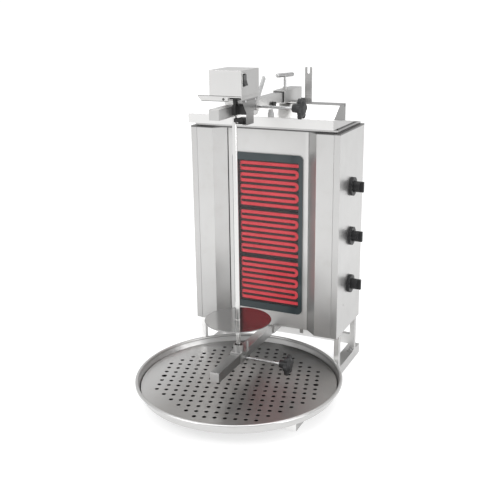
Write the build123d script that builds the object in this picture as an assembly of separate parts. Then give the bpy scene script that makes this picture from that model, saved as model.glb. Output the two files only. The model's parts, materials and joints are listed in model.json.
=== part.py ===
from build123d import *
import math
import os

# Vertical electric spit grill. Millimetres, +Z up. The origin lies on the ground, below the
# middle of the machine's overall box. +X is the side with the control knobs, -Y is the cook's side.

# overall layout
PAN_RADIUS = 275.0          # outer edge of the rolled rim
SPIT_Y = -63.0              # the spit stands at x = 0 over the pan's centre
FRONT_Y = 104.5             # front plane of the heater cabinet
CABINET_HALF = 214.0
CABINET_DEPTH = 200.0
CABINET_BOTTOM = 129.0
CABINET_TOP = 688.0
BACK_Y = FRONT_Y + CABINET_DEPTH
MIDDLE_Y = FRONT_Y + CABINET_DEPTH / 2
SHEET = 1.5

# base frame
FOOT_HEIGHT = 3.0
RAIL_WIDTH = 30.0
RAIL_TOP = 30.0
RAIL_FRONT = FRONT_Y - 293.0
RAIL_REAR = FRONT_Y + 215.0
LEG_SIZE = 14.0
LEG_OFFSET = 70.0           # leg centre lines, in front of and behind the cabinet's middle
LEG_PLATE = 3.0

# drip pan
PAN_FLOOR_RADIUS = 262.0
PAN_RIM_TOP = 60.5
RIM_ROLL = 4.5
PAN_SHEET = 1.2
PLATE_RADIUS = 260.5
PLATE_Z = 40.0
PLATE_SHEET = 1.5
HOLE_PITCH = 25.7
HOLE_RADIUS = 5.4
HOLE_ROWS = 8               # holes on each side of the middle row
HOLE_DIAGONAL = 11          # rows and columns together stay within this
FINGER_HOLE_RADIUS = 7.0
PLATE_TURN = 16.0           # how the loose plate happens to lie in the pan, degrees

# cabinet front
FOLD_X = 149.5              # where each wing turns inwards
PANEL_HALF = 117.8
PANEL_RECESS = 28.7
CORNER_FLANGE = 17.0
GLASS_HALF = 102.4
GLASS_BOTTOM = 172.6
GLASS_TOP = 620.0
GLASS_CORNER = 14.0
GLASS_THICKNESS = 4.0
WINDOW_LAP = 5.0            # how far the glass overlaps the panel's window

# heating zones
ZONES = 3
ZONE_PITCH = 137.3
ZONE_MIDDLE = (GLASS_BOTTOM + GLASS_TOP) / 2
BARS = 8
BAR_PITCH = 16.3
BAR_WIDTH = 8.4
BAR_HALF = 89.0
RIBBON = 1.2
TRAY_HALF = 97.0
TRAY_HEIGHT = 134.0
TRAY_DEPTH = 30.0

# control knobs
BEZEL_RADIUS = 25.0
BEZEL_DEPTH = 8.0
KNOB_RADIUS = 14.5
KNOB_REACH = 34.0           # from the side panel to the knob's face
STEM_RADIUS = 5.0
STEM_CLEARANCE = 0.08
SWITCH_SIZE = 44.0
SWITCH_DEPTH = 34.0

# lid and bridge on top of the cabinet
LID_HALF = 204.0
LID_OVERHANG = 30.0
LID_BOTTOM = 700.5
LID_FRONT_TOP = 725.0
LID_SLOPE = 0.138           # fall per millimetre towards the rear
RISER_HALF = 203.5
RISER_SETBACK = 8.0
BRIDGE_HALF = 160.0
BRIDGE_TOP = 740.0
BRIDGE_FOOT = 102.0         # behind the cabinet's front plane
BRIDGE_BROW = 149.0
MAST_X = 50.5
MAST_WIDTH = 20.0
MAST_THICKNESS = 3.0
MAST_TOP = 834.0
MAST_NOTCH = 8.0
MAST_NOTCH_DEPTH = 18.0

# arms
ARM = 25.0
ARM_WALL = 1.5
TOP_ARM_BOTTOM = 748.0
TOP_ARM_TOP = TOP_ARM_BOTTOM + ARM
TOP_ARM_MIDDLE = TOP_ARM_BOTTOM + ARM / 2
TOP_ARM_FRONT = FRONT_Y - 275.0
TOP_ARM_REAR = FRONT_Y + 230.0
SLEEVE_FRONT = FRONT_Y + 108.0
SLEEVE_REAR = FRONT_Y + 233.5
SLEEVE_HALF = 17.0
SLIDE_GAP = 0.5
T_BAR_Z = 815.5
T_BAR_RADIUS = 5.6
T_BAR_LENGTH = 66.0
T_BAR_TURN = 66.0
LOW_ARM_BOTTOM = 100.0
LOW_ARM_TOP = LOW_ARM_BOTTOM + ARM
LOW_ARM_MIDDLE = LOW_ARM_BOTTOM + ARM / 2
LOW_ARM_FRONT = FRONT_Y - 307.0
LOW_ARM_REAR = FRONT_Y + 170.0

# motor head
MOTOR_HALF = 42.0
STOP_Y = 36.0               # buffer on the arm, behind the cabinet's front plane
MOTOR_FRONT = SPIT_Y - 46.5
MOTOR_REAR = SPIT_Y + 52.0
MOTOR_PLATE_BOTTOM = 794.0
MOTOR_PLATE_TOP = 797.0
MOTOR_TOP = 856.0
SWITCH_Z = 834.0
CASE_BOTTOM = TOP_ARM_TOP
CASE_HALF = 17.0
CASE_REAR = SPIT_Y + 27.0
CASE_WALL = 2.5
HANGER_INNER = 40.0
GEAR_MODULE = 0.9
GEAR_TEETH = 28
PINION_TEETH = 10
GEAR_BOTTOM = 779.0
GEAR_FACE = 7.0
MOTOR_RADIUS = 22.0
HANGER_FOOT = 727.0

# spit
SPIT_RADIUS = 6.0
SPIT_BOTTOM = 131.0
SPIT_SHOULDER = 747.5
SPIT_SQUARE = 8.0
SPIT_TIP = 764.0
DISC_RADIUS = 87.0
DISC_Z = 214.5
DISC_THICKNESS = 2.5
SHAFT_RADIUS = 5.0
FIT = 0.05                  # radial clearance of turning pieces

# lower carriage
CARRIAGE_FRONT = SPIT_Y - 18.5
CARRIAGE_REAR = SPIT_Y + 18.5
CARRIAGE_TOP = 129.0
HOUSING_RADIUS = 13.5
HOUSING_TOP = 147.0
BEARING_RADIUS = 10.0

# clamping screws
SCREW_RADIUS = 3.5
STAR_RADIUS = 27.5
STAR_LOBES = 6
STAR_DEPTH = 9.0
STAR_HUB_RADIUS = 12.0
STAR_HUB = 18.0
UPPER_SHANK = 111.0         # from the pad to the knob's hub
LOWER_SHANK = 106.0
PAD_DEPTH = 1.6

FROM_BASE = (Align.CENTER, Align.CENTER, Align.MIN)


def block(x, y, z):
    """A box between the two limits given for each axis."""
    size = (x[1] - x[0], y[1] - y[0], z[1] - z[0])
    return Pos(x[0], y[0], z[0]) * Box(*size, align=(Align.MIN, Align.MIN, Align.MIN))


def rod_x(x, y, z, radius):
    rod = Cylinder(radius, x[1] - x[0], align=FROM_BASE)
    return Pos(x[0], y, z) * Rot(0, 90, 0) * rod


def rod_y(x, y, z, radius):
    rod = Cylinder(radius, y[1] - y[0], align=FROM_BASE)
    return Pos(x, y[0], z) * Rot(-90, 0, 0) * rod


def rod_z(x, y, z, radius):
    return Pos(x, y, z[0]) * Cylinder(radius, z[1] - z[0], align=FROM_BASE)


def slab_yz(points, x):
    """A plate between two x limits with its outline given as (y, z) points."""
    face = Plane.YZ * make_face(Polyline(*points, close=True))
    return Pos(x[0], 0, 0) * extrude(face, x[1] - x[0])


def slab_xz(points, y):
    """A plate between two y limits with its outline given as (x, z) points."""
    face = Plane.XZ * make_face(Polyline(*points, close=True))
    return Pos(0, y[1], 0) * extrude(face, y[1] - y[0])


def folded(points, z):
    """Sheet metal folded along (x, y) points and standing between two z limits."""
    outline = Polyline(*points).wire().offset_2d(SHEET, kind=Kind.INTERSECTION, side=Side.LEFT, closed=True)
    return Pos(0, 0, z[0]) * extrude(make_face(outline.edges()), z[1] - z[0])


def mirrored(shape):
    return mirror(shape, about=Plane.YZ)


def group(shapes):
    return Compound(children=[part for shape in shapes for part in shape.solids()])


# ---------------------------------------------------------------- base frame

def base_rail():
    """Rectangular tube with welded end plates, outer side flush with the cabinet."""
    outer_x = (CABINET_HALF - RAIL_WIDTH, CABINET_HALF)
    outside = block(outer_x, (RAIL_FRONT, RAIL_REAR), (FOOT_HEIGHT, RAIL_TOP))
    inner_x = (CABINET_HALF - RAIL_WIDTH + 2, CABINET_HALF - 2)
    inside = block(inner_x, (RAIL_FRONT + 2, RAIL_REAR - 2), (FOOT_HEIGHT + 2, RAIL_TOP - 2))
    return outside - inside


def leg(y):
    """Square post with a foot plate that is screwed to the rail."""
    x = (CABINET_HALF - LEG_SIZE, CABINET_HALF)
    foot = RAIL_TOP + LEG_PLATE
    half = LEG_SIZE / 2
    post = block(x, (y - half, y + half), (foot, CABINET_BOTTOM))
    inner = half - SHEET
    hollow = block((x[0] + SHEET, x[1] - SHEET), (y - inner, y + inner), (foot, CABINET_BOTTOM + 1))
    plate = block((x[0] - 4, x[1]), (y - 19, y + 19), (RAIL_TOP, foot))
    for side in (-13, 13):
        plate -= rod_z(CABINET_HALF - 9, y + side, (RAIL_TOP - 1, foot + 1), 2.6)
    return post - hollow + plate


def leg_places():
    return [MIDDLE_Y - LEG_OFFSET, MIDDLE_Y + LEG_OFFSET]


def cap_screw(x, y, z):
    """Button-head screw seen from above, its head on the plane z."""
    head = rod_z(x, y, (z, z + 2.4), 4.2) - Pos(x, y, z + 1.2) * extrude(RegularPolygon(1.6, 6), 1.4)
    return head + rod_z(x, y, (z - 5, z), 2.4)


def foot_plate_screws():
    screws = []
    for y in leg_places():
        for side in (-13, 13):
            screw = cap_screw(CABINET_HALF - 9, y + side, RAIL_TOP + LEG_PLATE)
            screws += [screw, mirrored(screw)]
    return group(screws)


def screw_holes(rail):
    """Clearance holes in the right rail below the foot-plate screws."""
    for y in leg_places():
        for side in (-13, 13):
            rail -= rod_z(CABINET_HALF - 9, y + side, (RAIL_TOP - 6, RAIL_TOP + 1), 2.4)
    return rail


def rear_cross_beam():
    y = MIDDLE_Y + LEG_OFFSET
    inner = CABINET_HALF - LEG_SIZE
    beam = block((-inner, inner), (y - 7, y + 7), (48, 78))
    return beam - block((-inner - 1, inner + 1), (y - 5.5, y + 5.5), (49.5, 76.5))


def front_cross_tie():
    inner = CABINET_HALF - RAIL_WIDTH
    tie = block((-inner, inner), (SPIT_Y - 12, SPIT_Y + 12), (FOOT_HEIGHT + 2, 25))
    return tie - block((-inner - 1, inner + 1), (SPIT_Y - 10.5, SPIT_Y + 10.5), (FOOT_HEIGHT + 3.5, 23.5))


def rubber_feet():
    pads = []
    for y in (RAIL_FRONT + 18, RAIL_REAR - 18):
        for x in (-1, 1):
            pads.append(rod_z(x * (CABINET_HALF - RAIL_WIDTH / 2), y, (0, FOOT_HEIGHT), 12))
    return group(pads)


# ---------------------------------------------------------------- drip pan

def drip_pan():
    """Round pan turned from sheet, with a sloping wall and a rolled rim."""
    roll_x = PAN_RADIUS - RIM_ROLL
    roll_z = PAN_RIM_TOP - RIM_ROLL
    outline = [
        (0, RAIL_TOP),
        (PAN_FLOOR_RADIUS - 6, RAIL_TOP),
        (PAN_FLOOR_RADIUS, RAIL_TOP + 3),
        (roll_x - 2.0, roll_z),
        (roll_x - 2.0 - PAN_SHEET, roll_z),
        (PAN_FLOOR_RADIUS - PAN_SHEET, RAIL_TOP + 3 + PAN_SHEET / 2),
        (PAN_FLOOR_RADIUS - 6 - PAN_SHEET / 2, RAIL_TOP + PAN_SHEET),
        (0, RAIL_TOP + PAN_SHEET),
    ]
    sheet = revolve(Plane.XZ * make_face(Polyline(*outline, close=True)), Axis.Z)
    rim = revolve(Plane.XZ * (Pos(roll_x, roll_z) * Circle(RIM_ROLL)), Axis.Z)
    return Pos(0, SPIT_Y, 0) * (sheet + rim)


def perforated_plate():
    """Loose plate over the pan's floor: round holes in a cut-off square pattern, two larger finger holes."""
    face = Circle(PLATE_RADIUS)
    holes = []
    for column in range(-HOLE_ROWS, HOLE_ROWS + 1):
        for row in range(-HOLE_ROWS, HOLE_ROWS + 1):
            if abs(column) + abs(row) > HOLE_DIAGONAL:
                continue
            finger = abs(column) == HOLE_ROWS and row == 0
            radius = FINGER_HOLE_RADIUS if finger else HOLE_RADIUS
            holes.append(Pos(column * HOLE_PITCH, row * HOLE_PITCH) * Circle(radius))
    plate = extrude(face - holes, PLATE_SHEET)
    depth = PLATE_Z - RAIL_TOP - PAN_SHEET
    skirt = Cylinder(PLATE_RADIUS - 6, depth, align=(Align.CENTER, Align.CENTER, Align.MAX))
    skirt -= Cylinder(PLATE_RADIUS - 7.5, 20, align=(Align.CENTER, Align.CENTER, Align.MAX))
    return Pos(0, SPIT_Y, PLATE_Z) * Rot(0, 0, PLATE_TURN) * (plate + skirt)


# ---------------------------------------------------------------- cabinet

def cabinet_floor(z):
    """Sheet that fits inside the cabinet's walls: flat wings in front, folded back to a recessed panel."""
    recess = FRONT_Y + PANEL_RECESS
    half = [(CABINET_HALF, BACK_Y), (CABINET_HALF, FRONT_Y), (FOLD_X, FRONT_Y), (PANEL_HALF, recess)]
    left = [(-x, y) for x, y in reversed(half)]
    face = make_face(Polyline(*half, *left, close=True))
    face = offset(face, -SHEET - 0.2, kind=Kind.INTERSECTION)
    return Pos(0, 0, z) * extrude(face, SHEET)


def side_panel():
    """Side sheet with a narrow flange round the front corner and another round the back corner."""
    z = (CABINET_BOTTOM, CABINET_TOP)
    sheet = folded(
        [
            (CABINET_HALF - CORNER_FLANGE, FRONT_Y),
            (CABINET_HALF, FRONT_Y),
            (CABINET_HALF, BACK_Y),
            (CABINET_HALF - 14, BACK_Y),
        ],
        z,
    )
    return sheet


def knob_heights():
    return [ZONE_MIDDLE + ZONE_PITCH, ZONE_MIDDLE, ZONE_MIDDLE - ZONE_PITCH]


def side_panel_right():
    panel = side_panel()
    for z in knob_heights():
        panel -= rod_x((CABINET_HALF - 5, CABINET_HALF + 1), MIDDLE_Y, z, STEM_RADIUS + STEM_CLEARANCE)
    panel -= rod_x((CABINET_HALF - 5, CABINET_HALF + 1), FRONT_Y + 52, 210.5, 2.0)
    return panel


def wing():
    """Front sheet beside the recess: a flat face, a slanted reveal and a flange behind the panel."""
    return folded(
        [
            (PANEL_HALF - 14, FRONT_Y + PANEL_RECESS + SHEET),
            (PANEL_HALF, FRONT_Y + PANEL_RECESS + SHEET),
            (PANEL_HALF + 1, FRONT_Y + PANEL_RECESS),
            (FOLD_X, FRONT_Y),
            (CABINET_HALF - CORNER_FLANGE - 0.6, FRONT_Y),
        ],
        (CABINET_BOTTOM, CABINET_TOP - SHEET),
    )


def front_panel():
    """Recessed sheet with the window that the glass covers."""
    y = (FRONT_Y + PANEL_RECESS, FRONT_Y + PANEL_RECESS + SHEET)
    sheet = block((-PANEL_HALF + 0.5, PANEL_HALF - 0.5), y, (CABINET_BOTTOM, CABINET_TOP - SHEET))
    half = GLASS_HALF - WINDOW_LAP
    z = (GLASS_BOTTOM + WINDOW_LAP, GLASS_TOP - WINDOW_LAP)
    return sheet - block((-half, half), (y[0] - 1, y[1] + 1), z)


def bottom_plate():
    """Floor of the cabinet, notched round the wings' flanges, with a tab under the front panel."""
    y = FRONT_Y + PANEL_RECESS + SHEET + 2
    tab = block((95, 105), (y, y + SHEET), (CABINET_BOTTOM - 13, CABINET_BOTTOM + SHEET))
    return cabinet_floor(CABINET_BOTTOM) - wing() - mirrored(wing()) + tab


def lid_height(y):
    """Height of the lid's sloping top above the ground at a given y."""
    return LID_FRONT_TOP - LID_SLOPE * (y - FRONT_Y + LID_OVERHANG)


def below_lid(drop):
    """Wedge that fills the room below the lid's top, lowered by drop."""
    front = FRONT_Y - LID_OVERHANG
    back = BACK_Y - 2
    top = [(front, lid_height(front) - drop), (back, lid_height(back) - drop)]
    return slab_yz(top + [(back, CABINET_TOP - 5), (front, CABINET_TOP - 5)], (-LID_HALF - 1, LID_HALF + 1))


def top_plate():
    """Top sheet with the low riser that carries the lid; the riser's edge follows the lid's slope."""
    front = FRONT_Y + RISER_SETBACK
    back = BACK_Y - 2
    riser = block((-RISER_HALF, RISER_HALF), (front, back), (CABINET_TOP, LID_BOTTOM))
    inner = RISER_HALF - SHEET
    riser -= block((-inner, inner), (front + SHEET, back - SHEET), (CABINET_TOP, LID_BOTTOM + 1))
    riser &= below_lid(SHEET)
    recess = (front, FRONT_Y + PANEL_RECESS + 4)
    over_recess = block((-FOLD_X, FOLD_X), recess, (CABINET_TOP - SHEET, CABINET_TOP))
    return cabinet_floor(CABINET_TOP - SHEET) + over_recess + riser


def top_lid():
    """Folded lid: upright fascia that overhangs the front, top that falls to the rear, tapering gussets."""
    front = FRONT_Y - LID_OVERHANG
    back = BACK_Y - 2
    wedge = block((-LID_HALF, LID_HALF), (front, back), (LID_BOTTOM, LID_FRONT_TOP)) & below_lid(0)
    gusset_end = FRONT_Y - LID_OVERHANG + (LID_FRONT_TOP - LID_BOTTOM) / LID_SLOPE
    inner = LID_HALF - SHEET
    hollow = block((-inner, inner), (front + SHEET, gusset_end), (LID_BOTTOM - 1, LID_FRONT_TOP))
    hollow &= below_lid(SHEET)
    sheet = block((-LID_HALF, LID_HALF), (gusset_end - 20, back), (CABINET_TOP, LID_FRONT_TOP)) & below_lid(0)
    return wedge - hollow + (sheet - below_lid(SHEET))


def back_cover():
    """Rear sheet with rows of ventilation slots."""
    half = CABINET_HALF - 15
    cover = block((-half, half), (BACK_Y - SHEET, BACK_Y), (CABINET_BOTTOM + 2, CABINET_TOP - 2))
    slots = []
    for row in range(6):
        for column in (-1, 0, 1):
            slot = SlotOverall(70, 6)
            slots.append(Pos(column * 110, 560 + row * 16) * slot)
    cut = Plane.XZ * Sketch(children=slots)
    cover -= Pos(0, BACK_Y + 1, 0) * extrude(cut, 4)
    return cover - rod_y(150, (BACK_Y - 5, BACK_Y + 1), 175, 10.1)


def glass_panel():
    middle = (GLASS_BOTTOM + GLASS_TOP) / 2
    shape = Pos(0, middle) * RectangleRounded(2 * GLASS_HALF, GLASS_TOP - GLASS_BOTTOM, GLASS_CORNER)
    return Pos(0, FRONT_Y + PANEL_RECESS, 0) * extrude(Plane.XZ * shape, GLASS_THICKNESS)


def heating_ribbon(middle):
    """Flat strip laid to and fro in level runs, both ends on the right."""
    y = (FRONT_Y + PANEL_RECESS + 3.0, FRONT_Y + PANEL_RECESS + 3.0 + RIBBON)
    turn = BAR_PITCH / 2
    outer = turn + BAR_WIDTH / 2
    inner = turn - BAR_WIDTH / 2
    reach = BAR_HALF - outer
    through = (y[0] - 1, y[1] + 1)
    strip = None
    for index in range(BARS):
        z = middle + (BARS - 1) * BAR_PITCH / 2 - index * BAR_PITCH
        end = BAR_HALF if index in (0, BARS - 1) else reach
        bar = block((-reach, end), y, (z - BAR_WIDTH / 2, z + BAR_WIDTH / 2))
        strip = bar if strip is None else strip + bar
        if index == BARS - 1:
            break
        side = -1 if index % 2 == 0 else 1
        ring = rod_y(side * reach, y, z - turn, outer) - rod_y(side * reach, through, z - turn, inner)
        x = sorted((side * reach, side * (reach + 20)))
        half = block(x, through, (z - turn - 20, z - turn + 20))
        strip += ring & half
    return strip


def element_tray(middle):
    """Sheet tray packed with insulating board, open towards the glass."""
    front = FRONT_Y + PANEL_RECESS + SHEET + 0.5
    y = (front, front + TRAY_DEPTH)
    z = (middle - TRAY_HEIGHT / 2, middle + TRAY_HEIGHT / 2)
    tray = block((-TRAY_HALF, TRAY_HALF), y, z)
    board = FRONT_Y + PANEL_RECESS + 3.0 + RIBBON
    lip = 3.0
    return tray - block((-TRAY_HALF + lip, TRAY_HALF - lip), (front - 1, board), (z[0] + lip, z[1] - lip))


def power_switch(z):
    """Rotary energy switch behind the side panel, with a bore for the knob's stem."""
    face = CABINET_HALF - SHEET
    half = SWITCH_SIZE / 2
    body = block((face - SWITCH_DEPTH, face), (MIDDLE_Y - half, MIDDLE_Y + half), (z - half, z + half))
    return body - rod_x((face - 14, face + 1), MIDDLE_Y, z, STEM_RADIUS + STEM_CLEARANCE)


def knob_bezel(z):
    """Flat ring on the side panel round each knob."""
    ring = rod_x((CABINET_HALF, CABINET_HALF + BEZEL_DEPTH), MIDDLE_Y, z, BEZEL_RADIUS)
    return ring - rod_x((CABINET_HALF - 1, CABINET_HALF + BEZEL_DEPTH + 1), MIDDLE_Y, z, KNOB_RADIUS + 1)


def control_knob(z):
    """Round knob with a grip bar across its face and a stem into the switch."""
    face = CABINET_HALF + KNOB_REACH
    body = rod_x((CABINET_HALF + 1.5, face - 9), MIDDLE_Y, z, KNOB_RADIUS)
    half = KNOB_RADIUS - 0.6
    grip = block((face - 10, face), (MIDDLE_Y - 4, MIDDLE_Y + 4), (z - half, z + half))
    stem = rod_x((CABINET_HALF - SHEET - 12, CABINET_HALF + 2), MIDDLE_Y, z, STEM_RADIUS)
    return body + grip + stem


def cable_gland():
    """Mains inlet gland in the back cover, its seal closed."""
    body = rod_y(150, (BACK_Y - 12, BACK_Y + 6), 175, 10)
    nut = Pos(150, BACK_Y + 14, 175) * Rot(90, 0, 0) * extrude(RegularPolygon(12.5, 6), 14)
    collar = rod_y(150, (BACK_Y - 9, BACK_Y - SHEET), 175, 13)
    return body + nut + collar - rod_y(150, (BACK_Y + 5, BACK_Y + 20), 175, 5)


def motor_lead_gland():
    """Round gland on the lid for the motor's supply lead."""
    y = FRONT_Y + 25
    z = lid_height(y)
    body = rod_z(12.5, y, (z - 1.5, z + 12), 9) + rod_z(12.5, y, (z + 12, z + 20), 7)
    return body - rod_z(12.5, y, (z + 10, z + 25), 4) - below_lid(0)


def pan_screw_y(x, y, z, way):
    """Round-head screw lying along Y; way is the side its head faces."""
    head = rod_y(x, sorted((y, y + way * 2.2)), z, 3.8)
    return head + rod_y(x, sorted((y, y - way * 6)), z, 2.0)


def rear_screws():
    """Screws of the back cover and of the mast, all of one kind."""
    screws = []
    for x in (-1, 0, 1):
        for z in (CABINET_BOTTOM + 12, CABINET_TOP - 12):
            screws.append(pan_screw_y(x * (CABINET_HALF - 22), BACK_Y, z, 1))
    for z in (714, 732):
        screws.append(pan_screw_y(MAST_X, BACK_Y - 2 + MAST_THICKNESS, z, 1))
    return group(screws)


def screw_pilots(cover):
    for x in (-1, 0, 1):
        for z in (CABINET_BOTTOM + 12, CABINET_TOP - 12):
            cover -= rod_y(x * (CABINET_HALF - 22), (BACK_Y - 9, BACK_Y + 1), z, 2.0)
    return cover


# ---------------------------------------------------------------- top structure

def rear_bridge():
    """Raised sheet housing across the lid, sloping in front, that carries the arm's sleeve."""
    foot = FRONT_Y + BRIDGE_FOOT
    brow = FRONT_Y + BRIDGE_BROW
    back = BACK_Y - 2
    outside = slab_yz([(foot, CABINET_TOP), (foot, lid_height(foot)), (brow, BRIDGE_TOP), (back, BRIDGE_TOP),
                       (back, CABINET_TOP)], (-BRIDGE_HALF, BRIDGE_HALF))
    wall = 2.0
    inner = BRIDGE_HALF - wall
    ceiling = BRIDGE_TOP - wall
    inside = slab_yz([(foot + 4, CABINET_TOP - 1), (foot + 4, lid_height(foot)), (brow + 1, ceiling),
                      (back - wall, ceiling), (back - wall, CABINET_TOP - 1)], (-inner, inner))
    return outside - inside - below_lid(0)


def cable_mast():
    """Flat upright behind the bridge with a notch on top that holds a lead clear of the heat."""
    x = (MAST_X - MAST_WIDTH / 2, MAST_X + MAST_WIDTH / 2)
    y = (BACK_Y - 2, BACK_Y - 2 + MAST_THICKNESS)
    mast = block(x, y, (706, MAST_TOP))
    notch = (MAST_X - MAST_NOTCH / 2, MAST_X + MAST_NOTCH / 2)
    floor = MAST_TOP - MAST_NOTCH_DEPTH
    mast -= block(notch, (y[0] - 1, y[1] + 1), (floor + MAST_NOTCH / 2, MAST_TOP + 1))
    mast -= rod_y(MAST_X, (y[0] - 1, y[1] + 1), floor + MAST_NOTCH / 2, MAST_NOTCH / 2)
    for z in (714, 732):
        mast -= rod_y(MAST_X, (y[0] - 1, y[1] + 1), z, 2.0)
    return mast


def mast_pilots(bridge):
    for z in (714, 732):
        bridge -= rod_y(MAST_X, (BACK_Y - 12, BACK_Y + 1), z, 2.0)
    return bridge


def arm_sleeve():
    """Square guide tube on a base plate, with a threaded boss for the clamping screw."""
    bore = ARM / 2 + SLIDE_GAP
    low = TOP_ARM_MIDDLE - SLEEVE_HALF
    high = TOP_ARM_MIDDLE + SLEEVE_HALF
    tube = block((-SLEEVE_HALF, SLEEVE_HALF), (SLEEVE_FRONT, SLEEVE_REAR), (low, high))
    base = block((-34, 34), (FRONT_Y + BRIDGE_BROW + 2, BACK_Y - 3), (BRIDGE_TOP, low))
    boss = rod_z(0, clamp_y(), (high - 1, high + 6), 6.5)
    shape = tube + base + boss
    channel = (TOP_ARM_MIDDLE - bore, TOP_ARM_MIDDLE + bore)
    shape -= block((-bore, bore), (SLEEVE_FRONT - 1, SLEEVE_REAR + 1), channel)
    return shape - rod_z(0, clamp_y(), (TOP_ARM_MIDDLE, high + 12), SCREW_RADIUS + FIT)


def clamp_y():
    return FRONT_Y + 151


def sleeve_collar():
    """Thin plastic wiper on the sleeve's mouth."""
    bore = ARM / 2 + SLIDE_GAP
    half = bore + 1.8
    middle = TOP_ARM_MIDDLE
    ring = block((-half, half), (SLEEVE_FRONT - 1.2, SLEEVE_FRONT), (middle - half, middle + half))
    return ring - block((-bore, bore), (SLEEVE_FRONT - 5, SLEEVE_FRONT + 1), (middle - bore, middle + bore))


def t_clamp_pad():
    return rod_z(0, clamp_y(), (TOP_ARM_TOP + 0.3, TOP_ARM_TOP + 0.3 + PAD_DEPTH), SCREW_RADIUS - 0.1)


def t_clamp_screw():
    """Clamping screw with a round cross-bar handle."""
    foot = TOP_ARM_TOP + 0.3 + PAD_DEPTH
    stem = rod_z(0, clamp_y(), (foot, T_BAR_Z), SCREW_RADIUS)
    reach = T_BAR_LENGTH / 2 - T_BAR_RADIUS
    bar = rod_x((-reach, reach), 0, 0, T_BAR_RADIUS)
    for end in (-reach, reach):
        bar += Pos(end, 0, 0) * Sphere(T_BAR_RADIUS)
    return stem + Pos(0, clamp_y(), T_BAR_Z) * Rot(0, 0, T_BAR_TURN) * bar


# ---------------------------------------------------------------- upper arm and motor head

def square_arm(y, z, closed_front):
    """Square tube along Y, closed by a welded plate in front."""
    half = ARM / 2
    outside = block((-half, half), y, (z - half, z + half))
    inner = half - ARM_WALL
    start = y[0] + (2.0 if closed_front else -1.0)
    return outside - block((-inner, inner), (start, y[1] + 1), (z - inner, z + inner))


def top_arm():
    arm = square_arm((TOP_ARM_FRONT, TOP_ARM_REAR), TOP_ARM_MIDDLE, True)
    return arm - rod_z(0, SPIT_Y, (TOP_ARM_BOTTOM - 1, TOP_ARM_TOP + 1), 8.5)


def arm_stop():
    """Rubber buffer low on the arm's right side that meets the sleeve's mouth; a stud holds it."""
    y = FRONT_Y + STOP_Y
    pad = block((ARM / 2, ARM / 2 + 7), (y - 9, y + 9), (TOP_ARM_BOTTOM - 3, TOP_ARM_BOTTOM + 8))
    return fillet(pad.edges(), 1.2) + rod_x((ARM / 2 - 1.5, ARM / 2 + 1), y, TOP_ARM_BOTTOM + 4, 2.5)


def stop_hole(arm):
    return arm - rod_x((ARM / 2 - 2, ARM / 2 + 1), FRONT_Y + STOP_Y, TOP_ARM_BOTTOM + 4, 2.5)


def motor_cover():
    """Five-sided sheet cover over the motor, with a raised frame and pivot holes for the switch."""
    outside = block((-MOTOR_HALF, MOTOR_HALF), (MOTOR_FRONT, MOTOR_REAR), (MOTOR_PLATE_TOP, MOTOR_TOP))
    inner = MOTOR_HALF - SHEET
    inner_y = (MOTOR_FRONT + SHEET, MOTOR_REAR - SHEET)
    inside = block((-inner, inner), inner_y, (MOTOR_PLATE_TOP - 1, MOTOR_TOP - SHEET))
    y = switch_y()
    frame = block((inner - 2, MOTOR_HALF + 1.5), (y - 10.5, y + 10.5), (SWITCH_Z - 17, SWITCH_Z + 17))
    window = block((inner - 3, MOTOR_HALF + 2), (y - 8.3, y + 8.3), (SWITCH_Z - 14.5, SWITCH_Z + 14.5))
    pivot = rod_y(MOTOR_HALF, (y - 10, y + 10), SWITCH_Z, 1.0 + FIT)
    return outside - inside + frame - window - pivot


def switch_y():
    return MOTOR_FRONT + 14


def pinion_y():
    return SPIT_Y + GEAR_MODULE * (GEAR_TEETH + PINION_TEETH) / 2


def motor_plate():
    """Plate under the motor, with a bent-up pull strip that reaches out to the left."""
    plate = block((-MOTOR_HALF, MOTOR_HALF), (MOTOR_FRONT, MOTOR_REAR), (MOTOR_PLATE_BOTTOM, MOTOR_PLATE_TOP))
    plate -= rod_z(0, pinion_y(), (MOTOR_PLATE_BOTTOM - 1, MOTOR_PLATE_TOP + 1), 6)
    y = (MOTOR_FRONT + 1, MOTOR_FRONT + 3.5)
    strip = slab_xz([(-74, MOTOR_PLATE_BOTTOM), (-64, 784), (6, 784), (6, MOTOR_PLATE_BOTTOM)], y)
    tail = block((-74, -MOTOR_HALF + 1), y, (MOTOR_PLATE_BOTTOM - 0.5, MOTOR_PLATE_TOP))
    return plate + strip + tail


def gear_motor():
    """Small motor standing on the plate, axis upright."""
    can = rod_z(0, pinion_y(), (MOTOR_PLATE_TOP, MOTOR_PLATE_TOP + 46), MOTOR_RADIUS)
    can = fillet(can.edges().sort_by(Axis.Z)[-1:], 4)
    return can - rod_z(0, pinion_y(), (MOTOR_PLATE_TOP - 1, MOTOR_PLATE_TOP + 30), 2.5 + FIT)


def gear_profile(teeth, phase):
    """Outline of a spur gear with straight-flanked teeth and running clearance."""
    pitch_radius = GEAR_MODULE * teeth / 2
    root = pitch_radius - 1.1 * GEAR_MODULE
    tip = pitch_radius + 0.75 * GEAR_MODULE
    step = 2 * math.pi / teeth
    points = []
    for tooth in range(teeth):
        middle = phase + tooth * step
        for radius, share in ((root, -0.27), (tip, -0.11), (tip, 0.11), (root, 0.27)):
            angle = middle + share * step
            points.append((radius * math.cos(angle), radius * math.sin(angle)))
    return make_face(Polyline(*points, close=True))


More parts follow.
